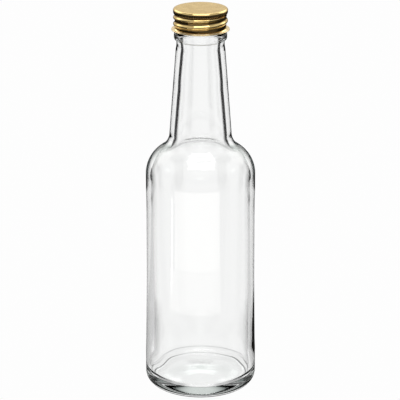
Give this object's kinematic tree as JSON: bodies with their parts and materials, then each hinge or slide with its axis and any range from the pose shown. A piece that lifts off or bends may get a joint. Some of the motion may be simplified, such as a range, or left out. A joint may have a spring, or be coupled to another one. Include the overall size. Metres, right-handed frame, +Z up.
{
  "type": "glass liqueur bottle",
  "caption": "Empty clear glass bottle with a long tapering neck, round shoulders, a pushed-up foot and a gold screw cap.",
  "frame": {"origin": "centre of the foot ring, on the surface that the bottle stands on", "axes": "+Z up along the bottle's axis; the pictured side faces -Y, with +X to its right"},
  "size_m": [0.0568, 0.0568, 0.1994],
  "materials": {
    "clear_glass": "polished",
    "gold_metal": "satin"
  },
  "bodies": {
    "root": {"bottle": "clear_glass", "cap": "gold_metal"}
  },
  "joints": []
}
